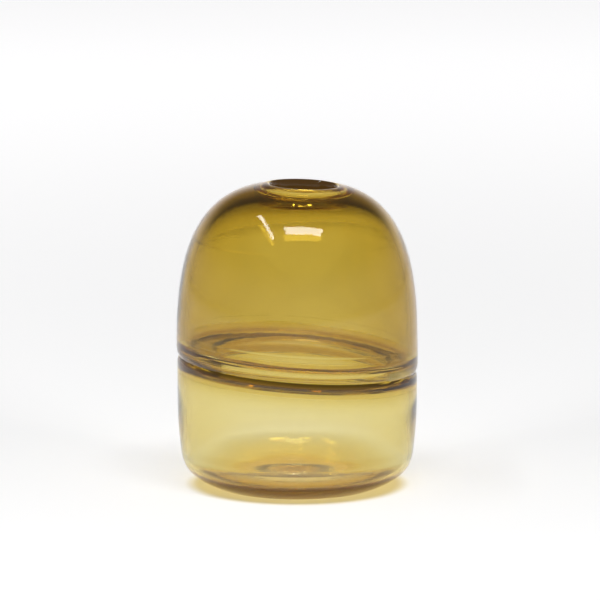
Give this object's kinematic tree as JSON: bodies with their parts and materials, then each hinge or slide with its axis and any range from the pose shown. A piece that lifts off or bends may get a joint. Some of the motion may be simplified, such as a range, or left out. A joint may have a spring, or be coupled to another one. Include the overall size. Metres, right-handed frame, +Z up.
{
  "type": "glass bud vase",
  "caption": "Small round-topped amber glass bud vase made of a domed bubble fused on a low bubble, with a slanting waist and a narrow lipped mouth.",
  "frame": {"origin": "centre of the base, on the plane the vase stands on", "axes": "+Z up along the vase's axis; the waist is high at -X and low at +X; -Y is the front"},
  "size_m": [0.0785, 0.0784, 0.099],
  "materials": {
    "upper_glass": "gloss, transparent deep amber",
    "worked_glass": "gloss, transparent amber, thick worked glass",
    "lower_glass": "gloss, transparent pale amber"
  },
  "bodies": {
    "root": {"mouth_lip": "worked_glass", "upper_bubble": "upper_glass", "waist_ring": "worked_glass", "lower_bubble": "lower_glass", "pontil_disc": "lower_glass"}
  },
  "joints": []
}
